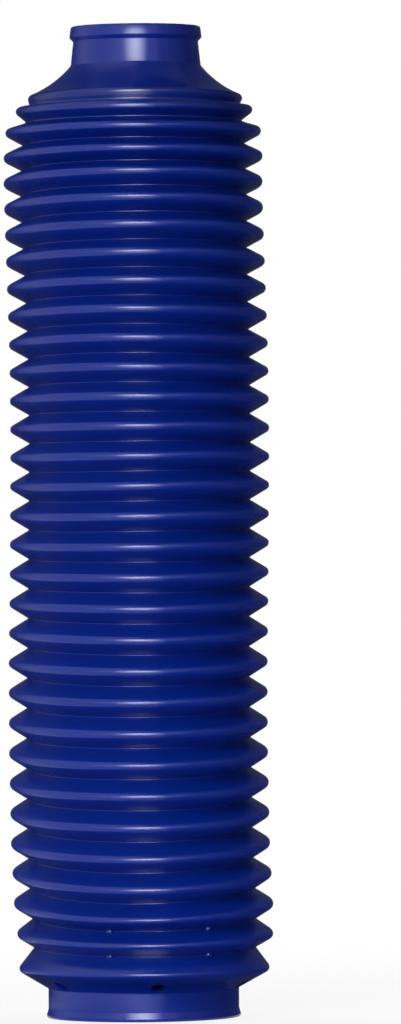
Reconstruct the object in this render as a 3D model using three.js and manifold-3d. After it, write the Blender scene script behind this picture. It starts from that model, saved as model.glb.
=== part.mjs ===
// Fork gaiter: the moulded rubber bellows sleeve that covers a motorcycle's fork leg.
// One closed piece of rubber. A narrow collar with a rolled rim grips the fork tube at the top, a shoulder
// flares out to the first fold, a stack of folds lets the sleeve shorten as the fork dives, and a wider cuff
// with a beaded foot grips the slider at the bottom. Air leaves through holes in the underside of the last
// fold, and small pips stand in the lowest grooves.
// Millimetres, +Z up along the sleeve's axis, origin at the centre of the foot, front towards -Y.
import * as THREE from "three";
import { mergeVertices } from "three/addons/utils/BufferGeometryUtils.js";
import Module from "manifold-3d";

// Cuff at the bottom
const cuffBoreRadius = 31;
const cuffWall = 2.1;
const cuffHeight = 9.8;
const footBeadReach = 0.9;
const footBeadHeight = 3.1;
const footEdgeRadius = 0.7;

// Folds, whose pitch shrinks from the bottom of the stack to the top, slowly at first
const foldCount = 32;
const foldRadius = 45;
const grooveRadius = 38.4;
const foldTipRadius = 1.7;
const foldTipWall = 1.45;
const grooveWall = 2.8;
const bottomPitch = 10.54;
const topPitch = 8.8;

// The two lowest folds, above the cuff, and how far above their middle the groove between them lies
const lowestFoldHeight = 17;
const lowestFoldRadius = 43.4;
const lowestPitch = 11.8;
const secondLowestRadius = 44.4;
const lowestGrooveRise = 1.2;

// The three highest folds, below the collar
const thirdHighestRadius = 44.4;
const secondHighestRadius = 41.1;
const highestRadius = 37.2;
const secondHighestPitch = 7.45;
const highestPitch = 4.1;
const secondHighestGroove = 37.6;
const highestGroove = 36.5;
const shoulderTipRadius = 1.6;

// Flare from the highest fold up to the collar, and its slope where it leaves the fold
const flareHeight = 11.65;
const flareSlope = THREE.MathUtils.degToRad(23);
const flareWall = 2;

// Collar at the top, a little wider at its foot, and its rolled rim, which narrows towards the top face
const collarBoreRadius = 19.7;
const collarWall = 2;
const collarTaper = 0.9;
const collarHeight = 8.2;
const rimReach = 1.3;
const rimTaper = 0.5;
const rimHeight = 5.2;
const rimUnderside = 1.4;
const rimEdgeRadius = 0.8;

// Breather holes in the underside of the lowest fold, turned a little from the front
const breatherCount = 6;
const breatherRadius = 2.4;
const breatherClearance = 0.9;
const breatherTurn = THREE.MathUtils.degToRad(8);

// Pips in the lowest grooves, in pairs on each side of the front and the back breather hole
const pipGrooves = 2;
const pipRadius = 1.4;
const pipSpread = THREE.MathUtils.degToRad(26);

// Direction of the front, as an angle from +X
const frontAngle = -Math.PI / 2;

// Facets
const facetsAround = 24;
const holeFacets = 12;
const pipFacets = 8;
const edgeSteps = 2;
const flareSteps = 4;

const wasm = await Module();
wasm.setup();

// The mesh as a solid that can be cut and joined.
function solidFrom(geometry) {
  const bare = geometry.clone();
  bare.deleteAttribute("normal");
  bare.deleteAttribute("uv");
  const merged = mergeVertices(bare, 1e-4);
  return new wasm.Manifold(
    new wasm.Mesh({
      numProp: 3,
      vertProperties: new Float32Array(merged.attributes.position.array),
      triVerts: new Uint32Array(merged.index.array),
    }),
  );
}

// The solid as a geometry for a mesh.
function geometryFrom(solid) {
  const mesh = solid.getMesh();
  const geometry = new THREE.BufferGeometry();
  geometry.setAttribute("position", new THREE.BufferAttribute(mesh.vertProperties, mesh.numProp));
  geometry.setIndex(new THREE.BufferAttribute(mesh.triVerts, 1));
  geometry.computeVertexNormals();
  return geometry;
}

// An arc about a centre, from one angle to another, as points of the section.
function arcPoints(centreRadius, centreHeight, radius, fromAngle, toAngle, steps) {
  const points = [];
  for (let i = 0; i <= steps; i++) {
    const angle = fromAngle + ((toAngle - fromAngle) * i) / steps;
    points.push(
      new THREE.Vector2(
        centreRadius + radius * Math.cos(angle),
        centreHeight + radius * Math.sin(angle),
      ),
    );
  }
  return points;
}

const lowestRadii = [lowestFoldRadius, secondLowestRadius];
const lowestPitches = [lowestPitch];
const highestRadii = [highestRadius, secondHighestRadius, thirdHighestRadius];
const highestPitches = [highestPitch, secondHighestPitch];
const highestGrooves = [highestGroove, secondHighestGroove];
const lowestGrooveRises = [lowestGrooveRise];

// Distance from a fold, counted from the bottom, to the next one up.
function pitchAbove(fold) {
  const gaps = foldCount - 1;
  const evenGaps = gaps - lowestPitches.length - highestPitches.length;
  const along = (fold - lowestPitches.length) / (evenGaps - 1);
  const evenPitch = bottomPitch + (topPitch - bottomPitch) * along ** 2;
  return lowestPitches[fold] ?? highestPitches[gaps - 1 - fold] ?? evenPitch;
}

// Height, outer radius and tip radius of every fold, from the bottom up.
function foldStack() {
  const found = [];
  let height = lowestFoldHeight;
  for (let i = 0; i < foldCount; i++) {
    const fromTop = foldCount - 1 - i;
    const radius = lowestRadii[i] ?? highestRadii[fromTop] ?? foldRadius;
    const tip = fromTop < highestPitches.length ? shoulderTipRadius : foldTipRadius;
    found.push({ height, radius, tip });
    height += pitchAbove(i);
  }
  return found;
}

// Height and radius of the groove above each fold but the last, halfway to the next fold or a little higher.
function grooveStack() {
  return folds.slice(0, -1).map((fold, i) => ({
    height: (fold.height + folds[i + 1].height) / 2 + (lowestGrooveRises[i] ?? 0),
    radius: highestGrooves[foldCount - 2 - i] ?? grooveRadius,
  }));
}

// Where a straight flank from a point touches the round tip of a fold: side is -1 below the tip and 1 above.
function tangentOnTip(fold, point, side) {
  const centre = new THREE.Vector2(fold.radius - fold.tip, fold.height);
  const reach = new THREE.Vector2(point.radius - centre.x, side * (point.height - centre.y));
  const angle = Math.atan2(reach.y, reach.x) - Math.acos(fold.tip / reach.length());
  return new THREE.Vector2(
    centre.x + fold.tip * Math.cos(angle),
    centre.y + side * fold.tip * Math.sin(angle),
  );
}

const folds = foldStack();
const grooves = grooveStack();
const lowestFold = folds[0];
const topFold = folds[foldCount - 1];

const cuffOuterRadius = cuffBoreRadius + cuffWall;
const collarOuterRadius = collarBoreRadius + collarWall;
const collarFootRadius = collarOuterRadius + collarTaper;
const collarBottom = topFold.height + flareHeight;
const rimBottom = collarBottom + collarHeight;
const totalHeight = rimBottom + rimHeight;

// Where the flare leaves the round tip of the top fold without a crease, and its outward normal there
const flareNormal = new THREE.Vector2(Math.sin(flareSlope), Math.cos(flareSlope));
const flareFoot = new THREE.Vector2(topFold.radius - topFold.tip, topFold.height).addScaledVector(
  flareNormal,
  topFold.tip,
);

// Foot bead and cuff, from the foot's flat face up to the underside of the lowest fold. The bead slopes in
// from its rounded lower edge to the cuff.
function cuffOutline() {
  const beadRadius = cuffOuterRadius + footBeadReach;
  return [
    ...arcPoints(beadRadius - footEdgeRadius, footEdgeRadius, footEdgeRadius, -Math.PI / 2, 0, edgeSteps),
    new THREE.Vector2(cuffOuterRadius, footBeadHeight),
    new THREE.Vector2(cuffOuterRadius, cuffHeight),
  ];
}

// Outside of the folds, up to where the flare begins: a round tip between straight flanks, and a sharp groove
// above each.
function foldOutline() {
  const points = [];
  const cuffTop = { radius: cuffOuterRadius, height: cuffHeight };
  folds.forEach((fold, i) => {
    const groove = grooves[i];
    points.push(tangentOnTip(fold, grooves[i - 1] ?? cuffTop, -1));
    points.push(new THREE.Vector2(fold.radius, fold.height));
    points.push(groove ? tangentOnTip(fold, groove, 1) : flareFoot);
    if (groove) points.push(new THREE.Vector2(groove.radius, groove.height));
  });
  return points;
}

// Hollow-backed flare, an arc from its foot on the top fold to the collar, shifted inwards by the wall.
function flareOutline(wall) {
  const head = new THREE.Vector2(collarFootRadius, collarBottom);
  const chord = head.clone().sub(flareFoot);
  const turn = 2 * (Math.atan2(chord.y, -chord.x) - flareSlope);
  const arcRadius = chord.length() / (2 * Math.sin(turn / 2));
  const centre = flareFoot.clone().addScaledVector(flareNormal, arcRadius);
  const from = 1.5 * Math.PI - flareSlope;
  return arcPoints(centre.x, centre.y, arcRadius + wall, from, from - turn, flareSteps);
}

// Collar and its rolled rim, up to the flat top face.
function collarOutline() {
  const rimRadius = collarOuterRadius + rimReach;
  return [
    new THREE.Vector2(collarOuterRadius, rimBottom),
    new THREE.Vector2(rimRadius, rimBottom + rimUnderside),
    ...arcPoints(
      rimRadius - rimTaper - rimEdgeRadius,
      totalHeight - rimEdgeRadius,
      rimEdgeRadius,
      0,
      Math.PI / 2,
      edgeSteps,
    ),
  ];
}

// Inside of the sleeve, from the top face down to the foot. The flare's inner foot is the hollow of the top fold.
function innerOutline() {
  const points = [
    new THREE.Vector2(collarBoreRadius, totalHeight),
    new THREE.Vector2(collarBoreRadius, collarBottom),
    ...flareOutline(flareWall)
      .reverse()
      .filter((point) => point.x > collarBoreRadius),
  ];
  for (let i = foldCount - 2; i >= 0; i--) {
    points.push(new THREE.Vector2(grooves[i].radius - grooveWall, grooves[i].height));
    points.push(new THREE.Vector2(folds[i].radius - foldTipWall, folds[i].height));
  }
  points.push(new THREE.Vector2(cuffBoreRadius, cuffHeight + cuffWall));
  points.push(new THREE.Vector2(cuffBoreRadius, 0));
  return points;
}

// The whole section turned about the axis.
function sleeveSolid() {
  const section = [
    ...cuffOutline(),
    ...foldOutline(),
    ...flareOutline(0).slice(1),
    ...collarOutline(),
    ...innerOutline(),
  ];
  section.push(section[0].clone());
  const turned = new THREE.LatheGeometry(section, facetsAround);
  turned.rotateX(Math.PI / 2);
  return solidFrom(turned);
}

// Upright holes through the underside of the lowest fold, the first at the front.
function breatherCutters() {
  const circleRadius = cuffOuterRadius + breatherClearance + breatherRadius;
  const length = lowestFold.height - cuffHeight + 2 * breatherClearance;
  const middle = (lowestFold.height + cuffHeight) / 2;
  const cutters = [];
  for (let i = 0; i < breatherCount; i++) {
    const angle = frontAngle + breatherTurn + (2 * Math.PI * i) / breatherCount;
    const cutter = new THREE.CylinderGeometry(breatherRadius, breatherRadius, length, holeFacets);
    cutter.rotateX(Math.PI / 2);
    cutter.translate(circleRadius * Math.cos(angle), circleRadius * Math.sin(angle), middle);
    cutters.push(solidFrom(cutter));
  }
  return cutters;
}

// Small round pips standing in the lowest grooves.
function pips() {
  const found = [];
  for (const groove of grooves.slice(0, pipGrooves)) {
    for (const facing of [frontAngle, frontAngle + Math.PI]) {
      for (const side of [-1, 1]) {
        const angle = facing + breatherTurn + side * pipSpread;
        const pip = new THREE.SphereGeometry(pipRadius, pipFacets, pipFacets / 2);
        pip.translate(
          groove.radius * Math.cos(angle),
          groove.radius * Math.sin(angle),
          groove.height,
        );
        found.push(solidFrom(pip));
      }
    }
  }
  return found;
}

function gaiterSolid() {
  let solid = sleeveSolid();
  for (const cutter of breatherCutters()) solid = solid.subtract(cutter);
  for (const pip of pips()) solid = solid.add(pip);
  return solid;
}

const blueRubber = new THREE.MeshStandardMaterial({ color: 0x16268c, roughness: 0.35, metalness: 0 });

const gaiter = new THREE.Mesh(geometryFrom(gaiterSolid()), blueRubber);
gaiter.name = "gaiter";

const part = new THREE.Group();
part.name = "fork_gaiter";
part.add(gaiter);

export default part;
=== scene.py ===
"""Fork gaiter: a glossy blue moulded rubber bellows sleeve for a motorcycle's fork leg.

The CAD frame gives the sleeve's height and its width across the folds. The sleeve is one turned skin with a
real wall, rounded folds and grooves, vent holes in the underside of the lowest fold and pips in the lowest
grooves. Metres, +Z up along the sleeve, front towards -Y.
"""

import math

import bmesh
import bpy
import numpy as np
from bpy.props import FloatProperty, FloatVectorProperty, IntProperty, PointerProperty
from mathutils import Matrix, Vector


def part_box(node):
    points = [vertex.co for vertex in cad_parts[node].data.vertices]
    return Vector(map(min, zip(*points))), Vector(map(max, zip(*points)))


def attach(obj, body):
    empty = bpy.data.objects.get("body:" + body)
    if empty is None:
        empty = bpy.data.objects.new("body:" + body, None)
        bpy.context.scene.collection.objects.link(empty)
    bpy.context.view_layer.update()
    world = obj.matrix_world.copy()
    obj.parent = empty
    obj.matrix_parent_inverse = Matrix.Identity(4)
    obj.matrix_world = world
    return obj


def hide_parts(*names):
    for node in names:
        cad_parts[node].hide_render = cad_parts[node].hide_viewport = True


bl_info = {
    "name": "Fork Gaiter",
    "version": (1, 0, 0),
    "blender": (4, 5, 0),
    "location": "View3D > Sidebar > Gaiter",
    "description": "Builds a moulded rubber fork gaiter with its folds, vents and rubber finish",
    "category": "Object",
}

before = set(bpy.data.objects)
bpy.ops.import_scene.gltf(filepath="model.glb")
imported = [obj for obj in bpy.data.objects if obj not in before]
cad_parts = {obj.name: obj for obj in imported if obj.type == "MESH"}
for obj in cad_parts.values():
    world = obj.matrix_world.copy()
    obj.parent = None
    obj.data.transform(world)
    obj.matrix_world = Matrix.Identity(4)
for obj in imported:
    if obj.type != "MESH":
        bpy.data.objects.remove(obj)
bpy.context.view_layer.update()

_, CAD_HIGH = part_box("gaiter")
MM = 0.001
FRONT_ANGLE = -math.pi / 2
FULL_TURN = 2 * math.pi


def length(name, description, default):
    return FloatProperty(
        name=name, description=description, default=default, subtype="DISTANCE", unit="LENGTH"
    )


def position(name, description, default):
    return FloatVectorProperty(
        name=name, description=description, default=default, size=3, subtype="TRANSLATION", unit="LENGTH"
    )


def turn(name, description, degrees):
    return FloatProperty(name=name, description=description, default=math.radians(degrees), subtype="ANGLE")


def colour(name, description, default):
    return FloatVectorProperty(
        name=name, description=description, default=default, size=3, subtype="COLOR", min=0, max=1
    )


def share(name, description, default):
    return FloatProperty(name=name, description=description, default=default, min=0, max=1, subtype="FACTOR")


def amount(name, description, default):
    return FloatProperty(name=name, description=description, default=default)


def number(name, description, default):
    return IntProperty(name=name, description=description, default=default, min=0)


class GaiterFolds(bpy.types.PropertyGroup):
    """Sizes of the stack of folds"""

    count: number("Folds", "Number of folds", 32)
    radius: length("Fold radius", "Radius across the tips of the folds", CAD_HIGH.x)
    groove: length("Groove radius", "Outer radius at the bottom of a groove", 38.4 * MM)
    tip: length("Tip rounding", "Radius of the rounded fold tips", 1.7 * MM)
    fillet: length("Groove rounding", "Radius of the rounded groove bottoms", 0.15 * MM)
    wall: length("Wall", "Thickness of the wall at a groove", 1.7 * MM)
    tip_wall: length("Tip wall", "Thickness of the wall at a fold tip", 1.45 * MM)
    inner_tip: length("Inner tip rounding", "Radius of the hollow inside a fold tip", 0.4 * MM)
    bottom_pitch: length("Bottom pitch", "Distance between folds low in the stack", 10.54 * MM)
    top_pitch: length("Top pitch", "Distance between folds high in the stack", 8.8 * MM)
    lowest_height: length("Lowest fold height", "Height of the lowest fold's tip", 17 * MM)
    lowest_radius: length("Lowest fold radius", "Radius of the lowest fold", 43.4 * MM)
    lowest_pitch: length("Lowest pitch", "Distance from the lowest fold to the next", 11.8 * MM)
    second_lowest_radius: length("Second lowest radius", "Radius of the second lowest fold", 44.4 * MM)
    lowest_groove_rise: length("Lowest groove rise", "Rise of the lowest groove above the middle", 1.2 * MM)
    third_highest_radius: length("Third highest radius", "Radius of the third highest fold", 44.4 * MM)
    second_highest_radius: length("Second highest radius", "Radius of the second highest fold", 41.1 * MM)
    highest_radius: length("Highest fold radius", "Radius of the highest fold", 37.2 * MM)
    second_highest_pitch: length("Second highest pitch", "Distance below the second highest fold", 7.45 * MM)
    highest_pitch: length("Highest pitch", "Distance below the highest fold", 4.1 * MM)
    second_highest_groove: length("Second highest groove", "Radius of the second highest groove", 37.6 * MM)
    highest_groove: length("Highest groove", "Radius of the highest groove", 36.5 * MM)
    shoulder_tip: length("Shoulder tip rounding", "Radius of the two highest fold tips", 1.6 * MM)
    shoulder_fillet: length("Shoulder groove rounding", "Radius of the two highest groove bottoms", 0.4 * MM)
    shoulder_wall: length("Shoulder fold wall", "Thickness of the wall at the two highest grooves", 1.2 * MM)


class GaiterEnds(bpy.types.PropertyGroup):
    """Sizes of the collar, rim, shoulder, cuff and foot"""

    collar_bore: length("Collar bore radius", "Inner radius of the collar", 19.7 * MM)
    collar_wall: length("Collar wall", "Thickness of the collar's wall at its top", 2 * MM)
    collar_taper: length("Collar taper", "How much the collar widens towards its foot", 0.9 * MM)
    collar_crease: length("Collar crease", "Rounding of the crease below the collar", 0.35 * MM)
    rim_reach: length("Rim reach", "How far the rim stands out from the collar", 1.3 * MM)
    rim_taper: length("Rim taper", "How much the rim narrows towards its top", 0.5 * MM)
    rim_height: length("Rim height", "Height of the rolled rim", 5.2 * MM)
    rim_underside: length("Rim underside", "Height of the rim's sloping underside", 1.4 * MM)
    rim_rounding: length("Rim rounding", "Rounding of the rim's upper edge", 0.8 * MM)
    flare_height: length("Shoulder height", "Height from the highest fold to the collar", 11.65 * MM)
    flare_slope: turn("Shoulder slope", "Slope of the hollow shoulder where it leaves the highest fold", 23)
    cuff_bore: length("Cuff bore radius", "Inner radius of the cuff", 31 * MM)
    cuff_wall: length("Cuff wall", "Thickness of the cuff's wall", 2.1 * MM)
    cuff_height: length("Cuff height", "Height of the cuff's top", 9.8 * MM)
    cuff_fillet: length("Cuff fillet", "Rounding where the lowest fold meets the cuff", 0.5 * MM)
    bead_reach: length("Foot bead reach", "How far the bead at the foot stands out", 0.9 * MM)
    bead_height: length("Foot bead height", "Height of the bead at the foot", 3.1 * MM)
    foot_rounding: length("Foot rounding", "Rounding of the foot's lower edge", 0.7 * MM)
    bore_edge: length("Bore edge", "Rounding of the edges of both bores", 0.3 * MM)


class GaiterDetails(bpy.types.PropertyGroup):
    """Vent holes, pips and the small unevenness of moulded rubber"""

    vents: number("Vent holes", "Number of vent holes", 6)
    vent_radius: length("Vent radius", "Radius of a vent hole", 2.4 * MM)
    vent_length: length("Vent length", "Length of the rod that cuts a vent hole", 9.6 * MM)
    vent_gap: length("Vent gap", "Distance from a vent hole to the cuff", 0.9 * MM)
    vent_turn: turn("Vent turn", "Angle of the first vent hole to the right of the front", 8)
    vent_slope: turn("Vent slope", "How steeply a vent hole rises inwards", 30)
    pip_grooves: number("Grooves with pips", "Number of low grooves with pips", 2)
    pip_radius: length("Pip radius", "Radius of a pip", 1.4 * MM)
    pip_spread: turn("Pip spread", "Angle from a vent hole to the pips beside it", 26)
    sway: amount("Sway", "Share of the folds' natural tilt, lean and bulge", 1.0)
    ripple: length("Ripple", "Unevenness of the fold edges", 0.14 * MM)
    facets: number("Facets", "Facets around the sleeve", 120)
    vent_facets: number("Vent facets", "Facets around a vent hole", 32)
    pip_detail: number("Pip detail", "How finely a pip's ball is divided", 3)
    sharp_angle: turn("Sharp angle", "Edges sharper than this are shaded as edges", 40)


class GaiterRubber(bpy.types.PropertyGroup):
    """Colours and finish of the rubber"""

    outside: colour("Outside", "Colour of the outside", (0.0015, 0.018, 0.235))
    # Painted shade: the groove colour is darker than the outside, so the rubber darkens deep in the folds where
    # shade falls.
    groove: colour("Grooves", "Colour deep in the folds", (0.001, 0.014, 0.18))
    inside: colour("Inside", "Colour of the inside", (0.004, 0.014, 0.15))
    outside_roughness: share("Outside roughness", "Roughness of the glossy outside", 0.205)
    inside_roughness: share("Inside roughness", "Roughness of the duller inside", 0.5)
    refraction: amount("Refraction", "Refractive index of the rubber", 1.5)
    specular: share("Specular", "Strength of the reflections", 0.4)
    # Painted light: the colour is lighter towards the foot, as if lit by light bounced off the floor, and
    # darker towards the rim.
    foot_painted_light: amount("Foot painted light", "Brightness of the colour at the foot", 1.17)
    rim_painted_shade: amount("Rim painted shade", "Brightness of the colour at the rim", 0.94)
    # Inside the groove radius the painted groove shade fades out, so the collar and the cuff keep the plain
    # colour.
    end_fade_start: length("End fade start", "How far inside the grooves their colour starts to fade", 1 * MM)
    end_fade_end: length("End fade end", "How far inside the grooves their colour is gone", 4 * MM)
    mottle: share("Mottle", "How far the colour wanders between crest and groove", 0.12)
    mottle_scale: amount("Mottle scale", "Mottled patches in a metre", 55.0)
    smoothest: amount("Smoothest", "Share of the roughness where the gloss is strongest", 0.88)
    roughest: amount("Roughest", "Share of the roughness where the gloss is weakest", 1.16)
    gloss_scale: amount("Gloss scale", "Patches of uneven gloss in a metre", 140.0)
    grain: length("Grain", "Height of the moulded grain", 0.003 * MM)
    grain_size: length("Grain size", "Width of the moulded grain", 0.9 * MM)


class StudioLook(bpy.types.PropertyGroup):
    """Camera, floor, cards, softbox and lamps"""

    distance: length("Camera distance", "Distance from the camera to the sleeve", 2.8)
    eye_height: length("Eye height", "Height of the camera", 0.170)
    lean: turn("Lean", "Lean of the sleeve to the left in the picture", 0.5)
    pixel: length("Size of a pixel", "Real size of one pixel of the picture at the sleeve", 0.3475 * MM)
    axis_column: amount("Sleeve column", "Pixel column of the sleeve's axis at mid height", 139.6)
    foot_row: amount("Foot row", "Pixel row of the sleeve's foot", 1016.0)
    picture_width: number("Picture width", "Width of the picture in pixels", 401)
    picture_height: number("Picture height", "Height of the picture in pixels", 1024)
    nearest: length("Nearest sight", "Distance from which the camera sees", 0.1)
    farthest: length("Farthest sight", "Distance up to which the camera sees", 50)
    floor: colour("Floor", "Colour of the floor", (0.8, 0.8, 0.8))
    floor_reach: length("Floor reach", "Half the width of the floor", 8)
    floor_gap: length("Floor gap", "Hair's breadth between the foot and the floor", 0.1 * MM)
    floor_glow: share("Floor glow", "Share of plain white in the floor beside the sleeve", 0.86)
    floor_fade_start: length("Floor fade start", "Distance at which the floor starts to turn white", 0.1)
    floor_fade_end: length("Floor fade end", "Distance at which the floor is plain white", 0.6)
    room: colour("Room light", "Soft light from all around", (0.08, 0.08, 0.09))
    card_radius: length("Card radius", "Distance from the sleeve to the wall card", 1.6)
    card_height: length("Card height", "Height of the wall card and the top card", 2.2)
    top_card_radius: length("Top card radius", "Radius of the top card", 2)
    foot_card_radius: length("Foot card radius", "Radius of the card round the foot", 0.07)
    card_lift: length("Card lift", "Height of the floor cards above the foot", 1 * MM)
    wall_card_start: turn("Wall card start", "Where the wall card starts, to the right of the front", 42)
    top_card_start: turn("Top card start", "Where the top card starts, to the right of the front", -28)
    floor_card_start: turn("Floor card start", "Where the floor card starts, to the right of the front", 20)
    card_end: turn("Card end", "Where these cards end, to the right of the front", 265)
    left_fade_start: turn("Left fade start", "Where the cards start to fade, to the left of the back", 33)
    left_fade_end: turn("Left fade end", "Where that fade is complete, to the left of the back", 85)
    right_fade_start: turn("Right fade start", "Where the cards start to fade, to the right of the back", 60)
    right_fade_end: turn("Right fade end", "Where that fade is complete, to the right of the back", 150)
    wall_card_grey: share("Wall card grey", "Grey of the wall card behind the sleeve", 0.06)
    wall_card_right_grey: share("Wall card right grey", "Grey of the wall card at its right end", 0.45)
    top_card_grey: share("Top card grey", "Grey of the top card", 0.16)
    floor_card_grey: share("Floor card grey", "Grey of the floor card and the foot card", 0.04)
    white: share("White", "Brightness of the white room, which the cards' left ends fade to", 1.0)
    floor_light_glow: amount("Floor light glow", "Brightness of the lit floor in front in reflections", 4.5)
    floor_light_spread: turn("Floor light spread", "How far the lit floor reaches to each side", 24)
    floor_light_near: length("Floor light near end", "Distance at which the lit floor starts", 0.33)
    floor_light_far: length("Floor light far end", "Distance at which the lit floor ends", 1.2)
    floor_light_lift: length("Floor light lift", "Height of the lit floor's card", 2 * MM)
    softbox_glow: amount("Softbox glow", "Brightness of the softbox in the sleeve's reflections", 17.0)
    softbox_turn: turn("Softbox turn", "Where the softbox stands, to the right of the front", -0.3)
    softbox_distance: length("Softbox distance", "Distance from the sleeve to the softbox", 1.2)
    softbox_half_width: length("Softbox half width", "Half the width of the softbox", 0.56)
    softbox_foot: length("Softbox foot", "Height of the softbox's lower edge", 0.1)
    softbox_top: length("Softbox top", "Height of the softbox's upper edge", 0.95)
    softbox_fade: share("Softbox fade", "Share of the top's height above which the softbox fades", 0.75)
    key_power: amount("Key power", "Power of the soft key lamp in watts", 32.0)
    key_place: position("Key place", "Where the key lamp hangs", (-0.72, -1.8, 0.75))
    key_width: length("Key width", "Width and height of the key lamp", 1.2)
    back_power: amount("Back power", "Power of each soft lamp behind in watts", 22.0)
    back_place: position("Back place", "Where the right one of the lamps behind hangs", (0.9, 1.5, 0.7))
    back_width: length("Back width", "Width and height of each lamp behind", 0.9)
    strip_power: amount("Strip power", "Power of the narrow lamp straight behind in watts", 5.0)
    strip_place: position("Strip place", "Where the narrow lamp hangs", (0, 1.4, 0.7))
    strip_width: length("Strip width", "Width of the narrow lamp", 0.16)
    strip_height: length("Strip height", "Height of the narrow lamp", 1.2)


# Section of the sleeve, as points of radius and height


def arc(centre, radius, start, end, steps):
    """Points on an arc from one angle to another."""
    angles = np.linspace(start, end, steps + 1)
    return [centre + radius * Vector((math.cos(a), math.sin(a))) for a in angles]


def angle_of(vector):
    return math.atan2(vector.y, vector.x)


def rounded(corners, steps=4):
    """The line through corners of (radius, height, rounding), with each corner rounded and both ends kept."""
    points = [Vector(corner[:2]) for corner in corners]
    found = [points[0]]
    for before, here, after, corner in zip(points, points[1:], points[2:], corners[1:]):
        back = (before - here).normalized()
        ahead = (after - here).normalized()
        half = back.angle(ahead) / 2
        rounding = corner[2]
        centre = here + (back + ahead).normalized() * rounding / math.sin(half)
        reach = rounding / math.tan(half)
        start = angle_of(here + back * reach - centre)
        sweep = (angle_of(here + ahead * reach - centre) - start + math.pi) % FULL_TURN - math.pi
        found += arc(centre, rounding, start, start + sweep, steps)
    found.append(points[-1])
    return found


def pitch_above(folds, fold):
    """Distance from a fold, counted from the bottom, to the next one up."""
    gaps = folds.count - 1
    own = {0: folds.lowest_pitch, gaps - 2: folds.second_highest_pitch, gaps - 1: folds.highest_pitch}
    first_even, even_gaps = 1, gaps - len(own)
    along = (fold - first_even) / (even_gaps - 1)
    return own.get(fold, folds.bottom_pitch + (folds.top_pitch - folds.bottom_pitch) * along**2)


def fold_tips(folds):
    """Height, radius and rounding of every fold tip, from the bottom up."""
    last = folds.count - 1
    own = {
        0: folds.lowest_radius,
        1: folds.second_lowest_radius,
        last - 2: folds.third_highest_radius,
        last - 1: folds.second_highest_radius,
        last: folds.highest_radius,
    }
    tips = []
    height = folds.lowest_height
    for fold in range(folds.count):
        rounding = folds.shoulder_tip if fold >= last - 1 else folds.tip
        tips.append((height, own.get(fold, folds.radius), rounding))
        height += pitch_above(folds, fold)
    return tips


def groove_bottoms(folds, tips):
    """Height, radius, rounding and wall of the groove above every fold but the last."""
    last = len(tips) - 2
    own = {last - 1: folds.second_highest_groove, last: folds.highest_groove}
    grooves = []
    for groove, (below, above) in enumerate(zip(tips, tips[1:])):
        shoulder = groove in own
        rounding = folds.shoulder_fillet if shoulder else folds.fillet
        wall = folds.shoulder_wall if shoulder else folds.wall
        height = (below[0] + above[0]) / 2 + (folds.lowest_groove_rise if groove == 0 else 0)
        grooves.append((height, own.get(groove, folds.groove), rounding, wall))
    return grooves


def flank_angle(tip, groove, side):
    """Direction of the outward normal of the straight flank between a round tip and a round groove.

    A round is a centre and a radius. The side is 1 for the flank above the tip and -1 for the one below.
    """
    reach = groove[0] - tip[0]
    return angle_of(reach) - side * math.acos((tip[1] + groove[1]) / reach.length)


def fold_line(tips, grooves, last_angle, tip_steps, groove_steps):
    """The line over rounded tips and through rounded grooves, from the bottom up.

    The first groove is the fillet at the cuff, and the line ends on the last tip at the angle given. Every
    straight flank has one more point half way along.
    """
    points = []
    arrival = math.pi
    for fold, (tip, groove) in enumerate(zip(tips, grooves)):
        below = flank_angle(tip, groove, -1)
        groove_end = below + math.pi
        points += arc(groove[0], groove[1], arrival % FULL_TURN, groove_end, groove_steps)
        foot = points[-1]
        last = fold == len(tips) - 1
        above = last_angle if last else flank_angle(tip, grooves[fold + 1], 1)
        tip_points = arc(tip[0], tip[1], below, above, tip_steps)
        points.append((foot + tip_points[0]) / 2)
        points += tip_points
        if not last:
            following = grooves[fold + 1]
            arrival = above + math.pi
            head = following[0] + following[1] * Vector((math.cos(arrival), math.sin(arrival)))
            points.append((points[-1] + head) / 2)
    return points


def flare(tip, head, slope, steps=10):
    """The hollow shoulder from a round tip to the collar: the angle where it starts, and its points."""
    leaving = math.pi / 2 - slope
    normal = Vector((math.cos(leaving), math.sin(leaving)))
    foot = tip[0] + tip[1] * normal
    chord = head - foot
    curve = 2 * (math.atan2(chord.y, -chord.x) - slope)
    radius = chord.length / (2 * math.sin(curve / 2))
    centre = foot + radius * normal
    return leaving, arc(centre, radius, leaving + math.pi, leaving + math.pi - curve, steps)[1:]


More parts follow.
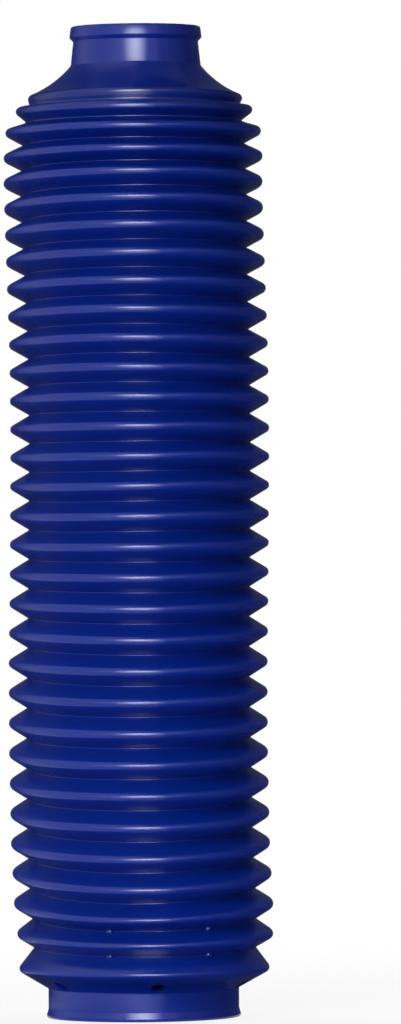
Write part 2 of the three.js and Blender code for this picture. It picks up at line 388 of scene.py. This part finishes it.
def outer_line(folds, ends, tips, grooves, height):
    """Outside of the sleeve, from inside the cuff's foot up to inside the collar's rim."""
    cuff = ends.cuff_bore + ends.cuff_wall
    bead = cuff + ends.bead_reach
    cuff_round = (Vector((cuff + ends.cuff_fillet, ends.cuff_height)), ends.cuff_fillet)
    tip_rounds = [(Vector((radius - rounding, at)), rounding) for at, radius, rounding in tips]
    groove_rounds = [(Vector((radius + rounding, at)), rounding) for at, radius, rounding, _ in grooves]
    collar_top = ends.collar_bore + ends.collar_wall
    collar_foot = collar_top + ends.collar_taper
    rim = collar_top + ends.rim_reach
    rim_foot = height - ends.rim_height
    head = Vector((collar_foot, tips[-1][0] + ends.flare_height))
    leaving, shoulder = flare(tip_rounds[-1], head, ends.flare_slope)
    foot = rounded(
        [
            (ends.cuff_bore, ends.bead_height, 0),
            (ends.cuff_bore, 0, ends.bore_edge),
            (bead, 0, ends.foot_rounding),
            (cuff, ends.bead_height, ends.cuff_fillet),
            (cuff, ends.cuff_height - ends.cuff_fillet, 0),
        ]
    )
    stack = fold_line(tip_rounds, [cuff_round, *groove_rounds], leaving, tip_steps=7, groove_steps=3)
    collar = rounded(
        [
            (*shoulder[-2], 0),
            (*head, ends.collar_crease),
            (collar_top, rim_foot, ends.collar_crease),
            (rim, rim_foot + ends.rim_underside, ends.rim_rounding / 2),
            (rim - ends.rim_taper, height, ends.rim_rounding),
            (ends.collar_bore, height, ends.bore_edge),
            (ends.collar_bore, rim_foot, 0),
        ]
    )
    return [*foot, *stack, *shoulder[:-2], *collar]


def inner_line(folds, ends, tips, grooves):
    """Inside of the sleeve, from the cuff up to the collar."""
    cuff_round = (
        Vector((ends.cuff_bore + ends.cuff_wall + ends.cuff_fillet, ends.cuff_height)),
        ends.cuff_wall + ends.cuff_fillet,
    )
    tip_rounds = [
        (Vector((radius - folds.tip_wall - folds.inner_tip, at)), folds.inner_tip) for at, radius, _ in tips
    ]
    groove_rounds = [
        (Vector((radius + rounding, at)), rounding + wall) for at, radius, rounding, wall in grooves
    ]
    head = Vector((ends.collar_bore, tips[-1][0] + ends.flare_height))
    leaving, shoulder = flare(tip_rounds[-1], head, ends.flare_slope)
    stack = fold_line(tip_rounds, [cuff_round, *groove_rounds], leaving, tip_steps=2, groove_steps=2)
    return [*stack, *shoulder]


# The sleeve's mesh


# Height of a fold, how far its front stands up or hangs down, how far it leans to the right, and how far it
# bulges to the front right and the back left, all in millimetres
SWAY = (
    (9, 0, 0, 0),
    (17, -0.4, 0.3, 0.9),
    (28, -2, 0.7, 1.1),
    (41, -4.1, 0.1, 1.3),
    (60, -4.3, -0.7, 0.9),
    (92, -3.9, -1.1, 0.5),
    (120, -2.8, -1, 0.3),
    (150, -1.5, -0.4, 0.15),
    (200, 0.2, 0.3, -0.1),
    (230, 1.2, 0.2, 0),
    (276, 3.1, -1.1, 0.2),
    (290, 2.9, -1.3, 0.4),
    (307, 0.5, -1.1, 0),
    (315, -0.4, -0.7, -0.5),
    (319, 1, -0.3, -0.6),
    (331, 0, 0, 0),
)

# Waves around the sleeve, their twist over its length and their start in radians, and their share of the ripple
RIPPLES = (
    (2, 18, 0, 1),
    (3, -28, 1, 0.6),
)


def unevenness(points, details):
    """How far each point is moved sideways and up, because the folds of a soft sleeve don't lie quite true.

    The fronts of the folds stand a little high in some places and hang in others, the stack leans a little to
    either side, some folds are a little out of round, and both ends stay true.
    """
    heights, lifts, leans, bulges = (np.array(values) * MM for values in zip(*SWAY))
    x, y, z = points.T
    front = -y / CAD_HIGH.x
    around = np.arctan2(y, x)
    bulge = -np.interp(z, heights, bulges) * np.sin(2 * around)
    level = z / CAD_HIGH.z
    ripple = sum(
        part * np.sin(waves * around + twist * level + start) for waves, twist, start, part in RIPPLES
    )
    inside_ends = (z > heights[0]) & (z < heights[-1])
    moves = np.zeros_like(points)
    moves[:, 0] = details.sway * (np.interp(z, heights, leans) + bulge * np.cos(around))
    moves[:, 1] = details.sway * bulge * np.sin(around)
    moves[:, 2] = details.sway * np.interp(z, heights, lifts) * front + details.ripple * ripple * inside_ends
    return moves


def turned_mesh(name, outer, inner, facets):
    """One closed skin turned from the section.

    The outside takes the first material and the inside the second.
    """
    section = np.array([tuple(point) for point in [*outer, *reversed(inner)]])
    angles = np.arange(facets) * FULL_TURN / facets
    rows = len(section)
    x = np.outer(section[:, 0], np.cos(angles))
    y = np.outer(section[:, 0], np.sin(angles))
    z = np.outer(section[:, 1], np.ones(facets))
    points = np.stack([x, y, z], axis=-1).reshape(-1, 3)
    row, column = np.meshgrid(np.arange(rows), np.arange(facets), indexing="ij")
    next_row, next_column = (row + 1) % rows, (column + 1) % facets
    corners = ((row, column), (row, next_column), (next_row, next_column), (next_row, column))
    quads = np.stack([ring * facets + step for ring, step in corners], axis=-1).reshape(-1, 4)
    mesh = bpy.data.meshes.new(name)
    mesh.from_pydata(points.tolist(), [], quads.tolist())
    inside = np.repeat(np.arange(rows) >= len(outer), facets)
    mesh.polygons.foreach_set("material_index", inside.astype(np.int32))
    return mesh


def linked_object(name, mesh):
    piece = bpy.data.objects.new(name, mesh)
    bpy.context.scene.collection.objects.link(piece)
    return piece


def vent_cutters(folds, ends, details):
    """Rods where the vent holes go, rising inwards through the underside of the lowest fold only."""
    bm = bmesh.new()
    cuff = ends.cuff_bore + ends.cuff_wall
    ring = cuff + details.vent_gap + details.vent_radius
    along = (ring - cuff) / (folds.lowest_radius - cuff)
    height = ends.cuff_height + along * (folds.lowest_height - ends.cuff_height)
    for vent in range(details.vents):
        around = FRONT_ANGLE + details.vent_turn + FULL_TURN * vent / details.vents
        placed = Matrix.Rotation(around, 4, "Z") @ Matrix.Translation((ring, 0, height))
        bmesh.ops.create_cone(
            bm,
            cap_ends=True,
            segments=details.vent_facets,
            radius1=details.vent_radius,
            radius2=details.vent_radius,
            depth=details.vent_length,
            matrix=placed @ Matrix.Rotation(details.vent_slope - math.pi / 2, 4, "Y"),
        )
    return finished_mesh("vent_cutters", bm)


def groove_pips(details, grooves):
    """Small round pips in the lowest grooves, beside the front and the back vent hole."""
    bm = bmesh.new()
    for at, radius, *_ in grooves[: details.pip_grooves]:
        for facing in (FRONT_ANGLE, FRONT_ANGLE + math.pi):
            for side in (-1, 1):
                around = facing + details.vent_turn + side * details.pip_spread
                middle = Vector((radius * math.cos(around), radius * math.sin(around), at))
                bmesh.ops.create_icosphere(
                    bm,
                    subdivisions=details.pip_detail,
                    radius=details.pip_radius,
                    matrix=Matrix.Translation(middle),
                )
    return finished_mesh("groove_pips", bm)


def finished_mesh(name, bm):
    mesh = bpy.data.meshes.new(name)
    bm.to_mesh(mesh)
    bm.free()
    return mesh


def cut_or_join(piece, tool_mesh, operation):
    """Cuts a tool mesh from the piece or joins it on, and then throws the tool away."""
    tool = linked_object(tool_mesh.name, tool_mesh)
    boolean = piece.modifiers.new(operation, "BOOLEAN")
    boolean.operation = operation
    boolean.object = tool
    boolean.solver = "EXACT"
    evaluated = piece.evaluated_get(bpy.context.evaluated_depsgraph_get())
    result = bpy.data.meshes.new_from_object(evaluated)
    piece.modifiers.clear()
    bpy.data.objects.remove(tool)
    bpy.data.meshes.remove(tool_mesh)
    old = piece.data
    piece.data = result
    result.name = piece.name
    bpy.data.meshes.remove(old)


def settle(mesh, details):
    """Moves a mesh's points by the folds' unevenness."""
    points = np.zeros(len(mesh.vertices) * 3)
    mesh.vertices.foreach_get("co", points)
    points = points.reshape(-1, 3)
    points += unevenness(points, details)
    mesh.vertices.foreach_set("co", points.ravel())
    mesh.update()


# Rubber


class NodeTree:
    """Small helper that adds and links the nodes of one node tree."""

    def __init__(self, tree):
        self.tree = tree

    def add(self, kind, values=None, **attributes):
        node = self.tree.nodes.new(kind)
        for name, value in attributes.items():
            setattr(node, name, value)
        for name, value in (values or {}).items():
            node.inputs[name].default_value = value
        return node

    def link(self, source, target):
        self.tree.links.new(source, target)

    def give(self, socket, value):
        """Sets a socket to a number, or links another socket to it."""
        if isinstance(value, (int, float)):
            socket.default_value = value
        else:
            self.link(value, socket)

    def math(self, operation, first, second=0, clamp=False):
        node = self.add("ShaderNodeMath", operation=operation, use_clamp=clamp)
        self.give(node.inputs[0], first)
        self.give(node.inputs[1], second)
        return node.outputs[0]

    def ramp(self, value, start, end, low=0, high=1, interpolation="SMOOTHSTEP"):
        """A value that goes from low to high while another one goes from start to end."""
        node = self.add("ShaderNodeMapRange", interpolation_type=interpolation)
        limits = {"From Min": start, "From Max": end, "To Min": low, "To Max": high}
        for name, given in {"Value": value, **limits}.items():
            self.give(node.inputs[name], given)
        return node.outputs[0]

    def noise(self, point, scale, detail, roughness):
        node = self.add("ShaderNodeTexNoise", {"Detail": detail, "Roughness": roughness})
        self.link(point, node.inputs["Vector"])
        self.give(node.inputs["Scale"], scale)
        return node.outputs[0]

    def coordinates(self):
        """The point on the object, and its x, y and z."""
        point = self.add("ShaderNodeTexCoord").outputs["Object"]
        split = self.add("ShaderNodeSeparateXYZ")
        self.link(point, split.inputs[0])
        return point, *split.outputs


# Most of a noise texture lies between these two values
NOISE_LOW = 0.3
NOISE_HIGH = 0.7


def rubber_group(rubber):
    """Moulded rubber: a colour darkened deep in the grooves as painted shade and graded by height as painted
    light, uneven gloss and a fine grain.
    """
    group = bpy.data.node_groups.new("moulded_rubber", "ShaderNodeTree")
    face = group.interface
    for name, kind, default in (
        ("Crest Colour", "NodeSocketColor", (0.01, 0.02, 0.2, 1)),
        ("Groove Painted Shade Colour", "NodeSocketColor", (0.005, 0.01, 0.15, 1)),
        ("Groove Radius", "NodeSocketFloat", 0.038),
        ("Crest Radius", "NodeSocketFloat", 0.045),
        ("Sleeve Height", "NodeSocketFloat", 0.344),
        ("Roughness", "NodeSocketFloat", 0.25),
        ("Grain Size", "NodeSocketFloat", 0.001),
    ):
        face.new_socket(name, in_out="INPUT", socket_type=kind).default_value = default
    face.new_socket("Colour", in_out="OUTPUT", socket_type="NodeSocketColor")
    face.new_socket("Roughness", in_out="OUTPUT", socket_type="NodeSocketFloat")
    face.new_socket("Grain Height", in_out="OUTPUT", socket_type="NodeSocketFloat")
    tree = NodeTree(group)
    given = tree.add("NodeGroupInput").outputs
    wanted = tree.add("NodeGroupOutput").inputs
    point, x, y, height = tree.coordinates()
    radius = tree.math("SQRT", tree.math("ADD", tree.math("MULTIPLY", x, x), tree.math("MULTIPLY", y, y)))
    # Painted shade: the colour runs from the dark groove colour at the groove radius to the crest colour at the
    # tips, with random mottle on top.
    groove = given["Groove Radius"]
    crest = tree.ramp(radius, groove, given["Crest Radius"])
    fade_start = tree.math("SUBTRACT", groove, rubber.end_fade_start)
    fade_end = tree.math("SUBTRACT", groove, rubber.end_fade_end)
    collar_or_cuff = tree.ramp(radius, fade_start, fade_end)
    clouds = tree.noise(point, rubber.mottle_scale, detail=3, roughness=0.55)
    mottle = tree.ramp(clouds, NOISE_LOW, NOISE_HIGH, -rubber.mottle, rubber.mottle, "LINEAR")
    painted_shade_and_mottle = tree.math("ADD", tree.math("MAXIMUM", crest, collar_or_cuff), mottle, clamp=True)
    colours = tree.add("ShaderNodeMix", data_type="RGBA")
    tree.link(painted_shade_and_mottle, colours.inputs[0])
    tree.link(given["Groove Painted Shade Colour"], colours.inputs[6])
    tree.link(given["Crest Colour"], colours.inputs[7])
    shaded = tree.add("ShaderNodeVectorMath", operation="SCALE")
    tree.link(colours.outputs[2], shaded.inputs[0])
    # Painted light and shade by height: lighter towards the foot as floor bounce, darker towards the rim.
    shade = tree.ramp(height, 0, given["Sleeve Height"], rubber.foot_painted_light, rubber.rim_painted_shade, "LINEAR")
    tree.link(shade, shaded.inputs["Scale"])
    tree.link(shaded.outputs[0], wanted["Colour"])
    wear = tree.noise(point, rubber.gloss_scale, detail=4, roughness=0.6)
    uneven = tree.ramp(wear, NOISE_LOW, NOISE_HIGH, rubber.smoothest, rubber.roughest, "LINEAR")
    tree.link(tree.math("MULTIPLY", given["Roughness"], uneven), wanted["Roughness"])
    grain_scale = tree.math("DIVIDE", 1, given["Grain Size"])
    grain = tree.noise(point, grain_scale, detail=2, roughness=0.5)
    tree.link(grain, wanted["Grain Height"])
    return group


def rubber_material(name, group, rubber, crest, groove, folds, roughness):
    """A rubber finish: the shared moulded look, with its own colours and gloss."""
    material = bpy.data.materials.new(name)
    material.use_nodes = True
    tree = NodeTree(material.node_tree)
    surface = material.node_tree.nodes["Principled BSDF"]
    look = tree.add("ShaderNodeGroup", node_tree=group)
    look.inputs["Crest Colour"].default_value = (*crest, 1)
    look.inputs["Groove Painted Shade Colour"].default_value = (*groove, 1)
    look.inputs["Groove Radius"].default_value = folds.groove
    look.inputs["Crest Radius"].default_value = folds.radius
    look.inputs["Sleeve Height"].default_value = CAD_HIGH.z
    look.inputs["Roughness"].default_value = roughness
    look.inputs["Grain Size"].default_value = rubber.grain_size
    bump = tree.add("ShaderNodeBump", {"Strength": 1.0, "Distance": rubber.grain})
    tree.link(look.outputs["Grain Height"], bump.inputs["Height"])
    tree.link(look.outputs["Colour"], surface.inputs["Base Color"])
    tree.link(look.outputs["Roughness"], surface.inputs["Roughness"])
    tree.link(bump.outputs["Normal"], surface.inputs["Normal"])
    surface.inputs["IOR"].default_value = rubber.refraction
    surface.inputs["Specular IOR Level"].default_value = rubber.specular
    return material


class GAITER_OT_sleeve(bpy.types.Operator):
    """Build the moulded rubber sleeve with its folds, vent holes and pips"""

    bl_idname = "gaiter.sleeve"
    bl_label = "Rubber Sleeve"

    def execute(self, context):
        scene = context.scene
        folds, ends, details, rubber = (
            scene.gaiter_folds,
            scene.gaiter_ends,
            scene.gaiter_details,
            scene.gaiter_rubber,
        )
        height = CAD_HIGH.z
        tips = fold_tips(folds)
        grooves = groove_bottoms(folds, tips)
        outer = outer_line(folds, ends, tips, grooves, height)
        inner = inner_line(folds, ends, tips, grooves)
        group = rubber_group(rubber)
        # The outside's groove colour is painted shade deep in the folds.
        outside = rubber_material(
            "blue_rubber_gloss", group, rubber, rubber.outside, rubber.groove, folds, rubber.outside_roughness
        )
        inside = rubber_material(
            "blue_rubber_inside", group, rubber, rubber.inside, rubber.inside, folds, rubber.inside_roughness
        )
        mesh = turned_mesh("gaiter_sleeve", outer, inner, details.facets)
        mesh.materials.append(outside)
        mesh.materials.append(inside)
        sleeve = linked_object("gaiter_sleeve", mesh)
        cut_or_join(sleeve, vent_cutters(folds, ends, details), "DIFFERENCE")
        cut_or_join(sleeve, groove_pips(details, grooves), "UNION")
        settle(sleeve.data, details)
        sleeve.data.shade_smooth()
        sleeve.data.set_sharp_from_angle(angle=details.sharp_angle)
        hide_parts("gaiter")
        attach(sleeve, "root")
        return {"FINISHED"}


# Stage


def white_for_sight(tree):
    """1 for the rays that see a thing directly, in a reflection or through glass, and 0 for the rest."""
    path = tree.add("ShaderNodeLightPath").outputs
    camera_or_glossy = tree.math("MAXIMUM", path["Is Camera Ray"], path["Is Glossy Ray"])
    return tree.math("MAXIMUM", camera_or_glossy, path["Is Transmission Ray"])


def white_room(studio):
    """A world that looks white and gives a soft grey light."""
    world = bpy.data.worlds.new("white_room")
    bpy.context.scene.world = world
    world.use_nodes = True
    tree = NodeTree(world.node_tree)
    soft = world.node_tree.nodes["Background"]
    soft.inputs["Color"].default_value = (*studio.room, 1)
    white = tree.add("ShaderNodeBackground", {"Color": (1, 1, 1, 1), "Strength": studio.white})
    mix = tree.add("ShaderNodeMixShader")
    tree.link(white_for_sight(tree), mix.inputs[0])
    tree.link(soft.outputs[0], mix.inputs[1])
    tree.link(white.outputs[0], mix.inputs[2])
    tree.link(mix.outputs[0], world.node_tree.nodes["World Output"].inputs["Surface"])


def bare_material(name):
    """A material that has no shader yet, its node tree and the socket that takes its surface."""
    material = bpy.data.materials.new(name)
    material.use_nodes = True
    nodes = material.node_tree.nodes
    nodes.remove(nodes["Principled BSDF"])
    return material, NodeTree(material.node_tree), nodes["Material Output"].inputs["Surface"]


def floor_material(studio):
    """A pale floor that looks nearly white, with the sleeve's soft shadow kept."""
    material, tree, surface = bare_material("pale_floor")
    pale = tree.add("ShaderNodeBsdfDiffuse", {"Color": (*studio.floor, 1)})
    white = tree.add("ShaderNodeEmission", {"Color": (1, 1, 1, 1), "Strength": studio.white})
    mix = tree.add("ShaderNodeMixShader")
    point, *_ = tree.coordinates()
    distance = tree.add("ShaderNodeVectorMath", operation="LENGTH")
    tree.link(point, distance.inputs[0])
    start, end = studio.floor_fade_start, studio.floor_fade_end
    whiteness = tree.ramp(distance.outputs["Value"], start, end, studio.floor_glow, 1)
    tree.link(tree.math("MULTIPLY", white_for_sight(tree), whiteness), mix.inputs[0])
    tree.link(pale.outputs[0], mix.inputs[1])
    tree.link(white.outputs[0], mix.inputs[2])
    tree.link(mix.outputs[0], surface)
    return material


def glow_surface(tree, strength, surface):
    """White light of a varying strength as the surface of a card."""
    light = tree.add("ShaderNodeEmission")
    tree.link(strength, light.inputs["Strength"])
    tree.link(light.outputs[0], surface)


def card_material(name, studio, grey, left_grey, right_grey):
    """A dark grey that can fade to a lighter one at the card's left and right ends."""
    material, tree, surface = bare_material(name)
    _, x, y, _ = tree.coordinates()
    from_back = tree.math("ARCTAN2", x, y)
    left = tree.ramp(from_back, -studio.left_fade_start, -studio.left_fade_end, grey, left_grey)
    right = tree.ramp(from_back, studio.right_fade_start, studio.right_fade_end, 0, right_grey - grey)
    glow_surface(tree, tree.math("ADD", left, right), surface)
    return material


def floor_light_material(studio):
    """A glow straight in front that falls to the room's white on both sides."""
    material, tree, surface = bare_material("floor_light")
    _, x, y, _ = tree.coordinates()
    from_front = tree.math("ABSOLUTE", tree.math("ARCTAN2", x, tree.math("MULTIPLY", y, -1)))
    glow = tree.ramp(from_front, studio.floor_light_spread, 0, studio.white, studio.floor_light_glow)
    glow_surface(tree, glow, surface)
    return material


def softbox_material(studio):
    """A glowing screen that fades out to its sides and its top."""
    material, tree, surface = bare_material("softbox")
    _, x, _, height = tree.coordinates()
    top = studio.softbox_top
    across = tree.ramp(tree.math("ABSOLUTE", x), studio.softbox_half_width, 0)
    upwards = tree.ramp(height, top, studio.softbox_fade * top)
    glow = tree.math("MULTIPLY", tree.math("MULTIPLY", across, upwards), studio.softbox_glow)
    glow_surface(tree, glow, surface)
    return material


def staged(name, points, faces, material):
    """A piece of the stage from its points and faces."""
    mesh = bpy.data.meshes.new(name)
    mesh.from_pydata(points, [], faces)
    mesh.materials.append(material)
    piece = linked_object(name, mesh)
    return piece


def show_in_reflections_only(piece):
    piece.visible_camera = False
    piece.visible_diffuse = False
    piece.visible_shadow = False


def curved_card(name, low, high, start, end, material, steps=32):
    """A curved card that only the sleeve's reflections see, as photographers set around glossy things.

    It runs between two rings of radius and height, and its angles count to the right from the front.
    """
    points = []
    for around in np.linspace(FRONT_ANGLE + start, FRONT_ANGLE + end, steps + 1):
        for radius, height in (low, high):
            points.append((radius * math.cos(around), radius * math.sin(around), height))
    faces = [(2 * step, 2 * step + 1, 2 * step + 3, 2 * step + 2) for step in range(steps)]
    show_in_reflections_only(staged(name, points, faces, material))


def pale_floor(studio):
    """The floor, a hair's breadth below the foot."""
    reach, level = studio.floor_reach, -studio.floor_gap
    corners = [(-reach, -reach, level), (reach, -reach, level), (reach, reach, level), (-reach, reach, level)]
    staged("floor", corners, [(0, 1, 2, 3)], floor_material(studio))


def cards(studio):
    """The dark cards to the right of the sleeve, behind it, above it and round its foot."""
    radius, top, level = studio.card_radius, studio.card_height, studio.card_lift
    foot, end, white = studio.foot_card_radius, studio.card_end, studio.white
    wall, wall_right = studio.wall_card_grey, studio.wall_card_right_grey
    above, below = studio.top_card_grey, studio.floor_card_grey
    wall_look = card_material("wall_card", studio, wall, white, wall_right)
    top_look = card_material("top_card", studio, above, white, above)
    floor_look = card_material("floor_card", studio, below, white, below)
    foot_look = card_material("foot_card", studio, below, below, below)
    curved_card("wall_card", (radius, 0), (radius, top), studio.wall_card_start, end, wall_look)
    curved_card("top_card", (0, top), (studio.top_card_radius, top), studio.top_card_start, end, top_look)
    curved_card("floor_card", (foot, level), (radius, level), studio.floor_card_start, end, floor_look)
    curved_card("foot_card", (0, level), (foot, level), -math.pi, math.pi, foot_look)


def floor_light(studio):
    """The lit floor in front of the sleeve, as its reflections see it."""
    spread, level = studio.floor_light_spread, studio.floor_light_lift
    near, far = (studio.floor_light_near, level), (studio.floor_light_far, level)
    curved_card("floor_light", near, far, -spread, spread, floor_light_material(studio))


def softbox(studio):
    """A soft screen in front of the sleeve, which only the sleeve's reflections see."""
    distance, around = studio.softbox_distance, studio.softbox_turn
    half, foot, top = studio.softbox_half_width, studio.softbox_foot, studio.softbox_top
    corners = [(side * half, 0, height) for height in (foot, top) for side in (-1, 1)]
    screen = staged("softbox", corners, [(0, 1, 3, 2)], softbox_material(studio))
    screen.location = (distance * math.sin(around), -distance * math.cos(around), 0)
    screen.rotation_euler = (0, 0, around)
    show_in_reflections_only(screen)


def soft_lamp(name, place, width, height, power):
    """A rectangular soft lamp aimed at the middle of the sleeve."""
    data = bpy.data.lights.new(name, "AREA")
    data.shape = "RECTANGLE"
    data.size, data.size_y = width, height
    data.energy = power
    lamp = linked_object(name, data)
    middle = Vector((0, 0, CAD_HIGH.z / 2))
    lamp.location = place
    lamp.rotation_euler = (middle - Vector(place)).to_track_quat("-Z", "Y").to_euler()
    lamp.visible_camera = False
    return lamp


def lamps(studio):
    """The key lamp, the two lamps behind, and a narrow one that the reflections see too."""
    key = soft_lamp("key_lamp", studio.key_place, studio.key_width, studio.key_width, studio.key_power)
    key.visible_glossy = False
    x, y, z = studio.back_place
    width = studio.back_width
    for side in (-1, 1):
        back = soft_lamp("back_lamp", (side * x, y, z), width, width, studio.back_power)
        back.visible_glossy = False
    soft_lamp("rear_strip", studio.strip_place, studio.strip_width, studio.strip_height, studio.strip_power)


def photo_camera(studio):
    """The camera in front of the sleeve, which stands left of the middle of the picture."""
    data = bpy.data.cameras.new("photo_camera")
    camera = linked_object("photo_camera", data)
    long_side = max(studio.picture_width, studio.picture_height)
    data.lens = data.sensor_width * studio.distance / studio.pixel / long_side
    side = (studio.picture_width / 2 - studio.axis_column) * studio.pixel
    aim_height = (studio.foot_row - studio.picture_height / 2) * studio.pixel
    camera.location = (side, -studio.distance, studio.eye_height)
    tilt = math.atan((aim_height - studio.eye_height) / studio.distance)
    facing = Matrix.Rotation(math.pi / 2 + tilt, 4, "X") @ Matrix.Rotation(-studio.lean, 4, "Z")
    camera.rotation_euler = facing.to_euler()
    data.clip_start, data.clip_end = studio.nearest, studio.farthest
    bpy.context.scene.camera = camera


class GAITER_OT_stage(bpy.types.Operator):
    """Set up the white room, the pale floor, the cards, the softbox, the lamps and the camera"""

    bl_idname = "gaiter.stage"
    bl_label = "Studio Stage"

    def execute(self, context):
        studio = context.scene.gaiter_studio
        white_room(studio)
        pale_floor(studio)
        cards(studio)
        floor_light(studio)
        softbox(studio)
        lamps(studio)
        photo_camera(studio)
        context.scene.view_settings.view_transform = "Standard"
        return {"FINISHED"}


class GAITER_PT_sidebar(bpy.types.Panel):
    """Sizes and colours of the gaiter, and the buttons that build it"""

    bl_label = "Fork Gaiter"
    bl_idname = "GAITER_PT_sidebar"
    bl_space_type = "VIEW_3D"
    bl_region_type = "UI"
    bl_category = "Gaiter"

    def draw(self, context):
        layout = self.layout
        for name, title, _ in SETTINGS:
            box = layout.box()
            box.label(text=title)
            group = getattr(context.scene, name)
            for field in group.__annotations__:
                box.prop(group, field)
        layout.operator(GAITER_OT_sleeve.bl_idname)
        layout.operator(GAITER_OT_stage.bl_idname)


SETTINGS = (
    ("gaiter_folds", "Folds", GaiterFolds),
    ("gaiter_ends", "Ends", GaiterEnds),
    ("gaiter_details", "Details", GaiterDetails),
    ("gaiter_rubber", "Rubber", GaiterRubber),
    ("gaiter_studio", "Studio", StudioLook),
)
CLASSES = (*(group for _, _, group in SETTINGS), GAITER_OT_sleeve, GAITER_OT_stage, GAITER_PT_sidebar)


def register():
    for kind in CLASSES:
        bpy.utils.register_class(kind)
    for name, _, group in SETTINGS:
        setattr(bpy.types.Scene, name, PointerProperty(type=group))


def unregister():
    for name, _, _ in SETTINGS:
        delattr(bpy.types.Scene, name)
    for kind in reversed(CLASSES):
        bpy.utils.unregister_class(kind)


def main():
    register()
    bpy.ops.gaiter.sleeve()
    bpy.ops.gaiter.stage()


if __name__ == "__main__":
    main()
